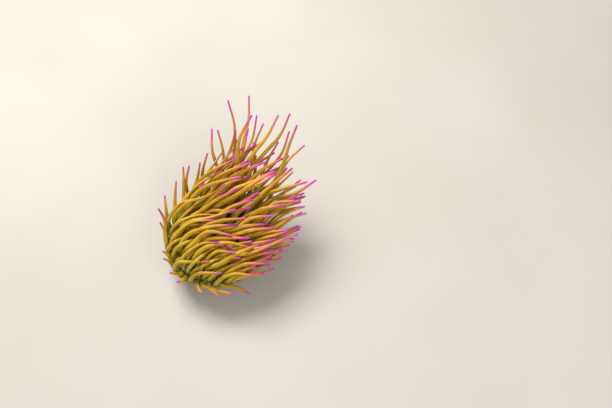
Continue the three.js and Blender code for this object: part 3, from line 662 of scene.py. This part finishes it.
class Look:
    """A procedural material. Inputs are given as values or as the outputs of other nodes."""

    def __init__(self, name, **surface):
        self.material = bpy.data.materials.new(name)
        self.material.use_nodes = True
        self.nodes = self.material.node_tree.nodes
        self.links = self.material.node_tree.links
        self.surface = self.nodes["Principled BSDF"]
        for socket, value in surface.items():
            self.feed(self.surface.inputs[socket.replace("_", " ")], value)

    def feed(self, socket, value):
        if isinstance(value, bpy.types.NodeSocket):
            self.links.new(value, socket)
        else:
            socket.default_value = value

    def add(self, kind, inputs, **settings):
        node = self.nodes.new("ShaderNode" + kind)
        for name, value in settings.items():
            setattr(node, name, value)
        for key, value in inputs.items():
            self.feed(node.inputs[key], value)
        return node

    def attribute(self, name):
        return self.add("Attribute", {}, attribute_name=name)

    def place(self):
        return self.add("TexCoord", {}).outputs["Object"]

    def scaled(self, vector, x, y, z):
        return self.add("VectorMath", {0: vector, 1: (x, y, z)}, operation="MULTIPLY").outputs[0]

    def noise(self, vector, scale, detail=2.0, roughness=0.5):
        inputs = {"Vector": vector, "Scale": scale, "Detail": detail, "Roughness": roughness}
        return self.add("TexNoise", inputs).outputs["Fac"]

    def math(self, operation, a, b=0.0):
        return self.add("Math", {0: a, 1: b}, operation=operation).outputs[0]

    def remap(self, value, low, high, to_low=0.0, to_high=1.0):
        inputs = {"Value": value, "From Min": low, "From Max": high, "To Min": to_low, "To Max": to_high}
        return self.add("MapRange", inputs, interpolation_type="SMOOTHSTEP").outputs["Result"]

    def ramp(self, value, stops):
        node = self.add("ValToRGB", {"Fac": value})
        elements = node.color_ramp.elements
        while len(elements) < len(stops):
            elements.new(1.0)
        for element, (at, shade) in zip(elements, stops):
            element.position, element.color = at, shade
        return node.outputs["Color"]

    def mix(self, share, one, other, blend="MIX"):
        node = self.add("Mix", {}, data_type="RGBA", blend_type=blend)
        for key, value in (("Factor_Float", share), ("A_Color", one), ("B_Color", other)):
            self.feed(next(s for s in node.inputs if s.identifier == key), value)
        return next(s for s in node.outputs if s.identifier == "Result_Color")

    def bump(self, height, distance, strength=1.0, normal=None):
        inputs = {"Height": height, "Distance": distance, "Strength": strength}
        if normal is not None:
            inputs["Normal"] = normal
        return self.add("Bump", inputs).outputs["Normal"]


FLESH = dict(IOR=1.38, Coat_Weight=0.2, Coat_Roughness=0.3, Subsurface_Weight=0.2)
SCATTER_DEPTH = (1.0, 0.8, 0.2)
SCATTER_SCALE = 0.0022


def flesh(name):
    look = Look(name, **FLESH)
    look.feed(look.surface.inputs["Subsurface Radius"], SCATTER_DEPTH)
    look.feed(look.surface.inputs["Subsurface Scale"], SCATTER_SCALE)
    return look


def tentacle_skin():
    """Green-gold at the root, lifted paler there as a painted highlight, ochre further along and magenta at
    the tip, with fine lengthwise streaks.
    """
    look = flesh("tentacle_skin")
    lie = look.attribute("lie").outputs["Vector"]
    along = look.attribute("along").outputs["Fac"]
    streaks = look.noise(look.scaled(lie, 3.0, 3.0, 0.09), 1.6, 3.0)
    patches = look.noise(look.place(), 260.0, 3.0)
    reached = look.add("SeparateXYZ", {0: lie}).outputs["Z"]
    index = look.math("FLOOR", look.math("DIVIDE", reached, LIE_STEP))
    own = look.add("TexWhiteNoise", {"W": index}, noise_dimensions="1D")  # differs between tentacles
    shift = look.remap(own.outputs["Value"], 0.0, 1.0, -0.03, 0.045)
    at = look.math("ADD", along, look.math("ADD", shift, look.remap(patches, 0.2, 0.8, -0.02, 0.02)))
    shaft_and_painted_highlight = look.ramp(at, [
        (0.0, colour(88, 80, 20)),
        # the skin's own green-gold, made paler here as a painted highlight on the tentacles' bases
        (0.1, colour(168, 166, 66)),
        (0.26, colour(194, 170, 44)),
        (0.56, colour(194, 156, 18)),
        (0.83, colour(202, 146, 44)),
        (0.905, colour(210, 112, 110)),
        (0.955, colour(216, 70, 166)),
        (1.0, colour(190, 46, 206)),
    ])
    dark = look.mix(look.remap(streaks, 0.35, 0.7), (0.72, 0.7, 0.6, 1.0), (1.12, 1.1, 1.0, 1.0))
    tone = look.mix(look.remap(patches, 0.25, 0.75), (0.9, 0.88, 0.8, 1.0), (1.08, 1.08, 1.06, 1.0))
    base = look.mix(1.0, look.mix(1.0, shaft_and_painted_highlight, dark, "MULTIPLY"), tone, "MULTIPLY")
    greener = look.mix(own.outputs["Color"], (0.82, 0.86, 0.9, 1.0), (1.12, 1.06, 1.0, 1.0))
    base = look.mix(1.0, base, greener, "MULTIPLY")
    look.feed(look.surface.inputs["Base Color"], base)
    look.feed(look.surface.inputs["Roughness"], look.remap(streaks, 0.2, 0.8, 0.5, 0.34))
    folds = look.noise(look.scaled(lie, 0.5, 0.5, 2.2), 1.3, 2.0)
    normal = look.bump(folds, 0.00012)
    normal = look.bump(streaks, 0.00018, 1.0, normal)
    look.feed(look.surface.inputs["Normal"], normal)
    return look.material


def column_skin():
    """Brown with paler lines up it, mottled, and darker in patches."""
    look = flesh("column_skin")
    lie = look.attribute("lie").outputs["Vector"]
    height = look.attribute("along").outputs["Fac"]
    lines = look.noise(look.scaled(lie, 9.0, 9.0, 0.05), 1.5, 2.0)
    mottle = look.noise(look.place(), 180.0, 4.0, 0.6)
    grain = look.noise(look.place(), 1400.0, 2.0)
    tall = look.ramp(height, [
        (0.0, colour(136, 102, 74)),
        (0.25, colour(106, 76, 50)),
        (0.7, colour(116, 90, 56)),
        (0.95, colour(132, 114, 62)),
    ])
    tone = look.mix(look.remap(mottle, 0.3, 0.7), (0.7, 0.66, 0.62, 1.0), (1.2, 1.18, 1.12, 1.0))
    base = look.mix(1.0, tall, tone, "MULTIPLY")
    base = look.mix(look.remap(lines, 0.56, 0.68, 0.0, 0.45), base, colour(186, 150, 112))
    look.feed(look.surface.inputs["Base Color"], base)
    look.feed(look.surface.inputs["Roughness"], look.remap(mottle, 0.2, 0.8, 0.42, 0.6))
    normal = look.bump(grain, 0.00012)
    normal = look.bump(mottle, 0.0003, 1.0, normal)
    look.feed(look.surface.inputs["Normal"], normal)
    return look.material


def crown_skin():
    """The floor between the tentacles and the oral disc: olive, with paler rays to the mouth."""
    look = flesh("crown_skin")
    lie = look.attribute("lie").outputs["Vector"]
    rays = look.noise(look.scaled(lie, 8.0, 8.0, 0.03), 1.5, 2.0)
    mottle = look.noise(look.place(), 300.0, 3.0)
    base = look.mix(look.remap(rays, 0.4, 0.62), colour(104, 84, 40), colour(166, 148, 78))
    tone = look.mix(look.remap(mottle, 0.3, 0.7), (0.8, 0.78, 0.74, 1.0), (1.12, 1.12, 1.08, 1.0))
    look.feed(look.surface.inputs["Base Color"], look.mix(1.0, base, tone, "MULTIPLY"))
    look.feed(look.surface.inputs["Roughness"], look.remap(mottle, 0.2, 0.8, 0.34, 0.5))
    look.feed(look.surface.inputs["Normal"], look.bump(rays, 0.0003))
    return look.material


def lip_skin():
    """The lips: paler, pinkish, and ribbed across."""
    look = flesh("lip_skin")
    lie = look.attribute("lie").outputs["Vector"]
    ribs = look.noise(look.scaled(lie, 6.0, 6.0, 0.1), 1.6, 2.0)
    base = look.mix(look.remap(ribs, 0.35, 0.65), colour(168, 112, 84), colour(214, 172, 124))
    look.feed(look.surface.inputs["Base Color"], base)
    look.feed(look.surface.inputs["Roughness"], look.remap(ribs, 0.2, 0.8, 0.3, 0.42))
    look.feed(look.surface.inputs["Normal"], look.bump(ribs, 0.0002))
    return look.material


def bead_skin():
    """The acrorhagi: pale, bluish violet on their crowns."""
    look = flesh("bead_skin")
    along = look.attribute("along").outputs["Fac"]
    mottle = look.noise(look.place(), 900.0, 2.0)
    out = look.math("ADD", along, look.remap(mottle, 0.3, 0.7, -0.15, 0.15))
    base = look.ramp(look.math("MULTIPLY", out, 0.5), [
        (0.3, colour(140, 110, 66)),
        (0.62, colour(196, 178, 150)),
        (0.95, colour(196, 170, 196)),
    ])
    look.feed(look.surface.inputs["Base Color"], base)
    look.feed(look.surface.inputs["Roughness"], look.remap(mottle, 0.2, 0.8, 0.35, 0.5))
    look.feed(look.surface.inputs["Normal"], look.bump(mottle, 0.0001))
    return look.material


def floor_material():
    look = Look("floor_paint", Roughness=0.85)
    cloud = look.noise(look.place(), 6.0, 3.0)
    base = look.mix(look.remap(cloud, 0.3, 0.7), colour(176, 173, 166), colour(182, 179, 173))
    look.feed(look.surface.inputs["Base Color"], base)
    return look.material


# ---------------------------------------------------------------- the anemone
def make_anemone():
    tentacles = make_tentacles()
    crown = Crown(tentacles)
    crown.settle()
    skin = Skin()
    add_body(skin)
    for index in range(2 * BEAD_COUNT):
        add_bead(skin, index)
    scatter = scatter_source(SEED + 1)
    tubes = [tentacle_tube(crown.course(i), t["cycle"], scatter) for i, t in enumerate(tentacles)]
    for index, tube in enumerate(press(tubes)):
        add_tentacle(skin, tube, index)
    materials = [column_skin(), crown_skin(), lip_skin(), bead_skin(), tentacle_skin()]
    return skin.make_object("anemone_skin", materials)


# ---------------------------------------------------------------- floor, light and camera
FLOOR_SIDE = 6.0
PHOTO_WIDTH, PHOTO_HEIGHT = 612, 408
CROWN_PIXEL = (214, 244)  # where the middle of the crown is in the photograph
MM_PER_PIXEL = 0.65
CAMERA_DISTANCE = 430
CAMERA_DIP = math.radians(58)
CROWN_MIDDLE = np.array([0.0, 0.0, 18.0])
SENSOR = 36.0


def make_floor():
    half = FLOOR_SIDE / 2
    mesh = bpy.data.meshes.new("floor")
    corners = [(-half, -half, 0), (half, -half, 0), (half, half, 0), (-half, half, 0)]
    mesh.from_pydata(corners, [], [(0, 1, 2, 3)])
    mesh.materials.append(floor_material())
    floor = bpy.data.objects.new("floor", mesh)
    bpy.context.scene.collection.objects.link(floor)


def facing(place, target, up_hint=UP):
    """The matrix of a camera or lamp at the place, looking at the target."""
    back = unit(np.asarray(place, float) - target)
    right = unit(np.cross(up_hint, back))
    up = np.cross(back, right)
    matrix = Matrix.Identity(4)
    for row in range(3):
        matrix[row] = right[row], up[row], back[row], place[row]
    return matrix


def make_lamp(name, place, size, power, tint):
    lamp = bpy.data.lights.new(name, "AREA")
    lamp.size, lamp.energy, lamp.color = size, power, tint
    made = bpy.data.objects.new(name, lamp)
    made.matrix_world = facing(place, to_frame(CROWN_MIDDLE))
    bpy.context.scene.collection.objects.link(made)


def make_light():
    make_lamp("key", place=(-0.25, 0.42, 0.75), size=0.45, power=11.5, tint=(1.0, 0.97, 0.92))
    make_lamp("fill", place=(0.45, -0.65, 0.55), size=0.8, power=5.0, tint=(1.0, 0.98, 0.94))
    world = bpy.data.worlds.new("studio")
    world.use_nodes = True
    background = world.node_tree.nodes["Background"]
    background.inputs["Color"].default_value = (1.0, 0.97, 0.93, 1.0)
    background.inputs["Strength"].default_value = 0.46
    bpy.context.scene.world = world
    bpy.context.scene.view_settings.view_transform = "Standard"


def make_camera():
    forward = np.array([0, math.cos(CAMERA_DIP), -math.sin(CAMERA_DIP)])
    up = np.array([0, math.sin(CAMERA_DIP), math.cos(CAMERA_DIP)])
    right = np.array([1.0, 0, 0])
    aside = (PHOTO_WIDTH / 2 - CROWN_PIXEL[0]) * MM_PER_PIXEL
    above = (CROWN_PIXEL[1] - PHOTO_HEIGHT / 2) * MM_PER_PIXEL
    target = CROWN_MIDDLE + right * aside + up * above
    place = to_frame(target - forward * CAMERA_DISTANCE)
    camera = bpy.data.cameras.new("camera")
    camera.sensor_width = SENSOR
    camera.lens = CAMERA_DISTANCE / MM_PER_PIXEL / PHOTO_WIDTH * SENSOR
    camera.clip_start, camera.clip_end = 0.01, 20.0
    made = bpy.data.objects.new("camera", camera)
    made.matrix_world = facing(place, to_frame(target), up)
    bpy.context.scene.collection.objects.link(made)
    bpy.context.scene.camera = made


# ---------------------------------------------------------------- the scene
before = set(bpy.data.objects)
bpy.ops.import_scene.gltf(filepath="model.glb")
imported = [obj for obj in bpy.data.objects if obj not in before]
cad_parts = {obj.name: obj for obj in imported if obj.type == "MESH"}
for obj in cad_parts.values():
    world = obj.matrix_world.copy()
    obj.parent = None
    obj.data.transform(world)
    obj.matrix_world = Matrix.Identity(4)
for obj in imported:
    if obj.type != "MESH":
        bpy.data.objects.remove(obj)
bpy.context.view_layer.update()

anemone = make_anemone()
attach(anemone, "root")
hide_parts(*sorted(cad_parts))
make_floor()
make_light()
make_camera()
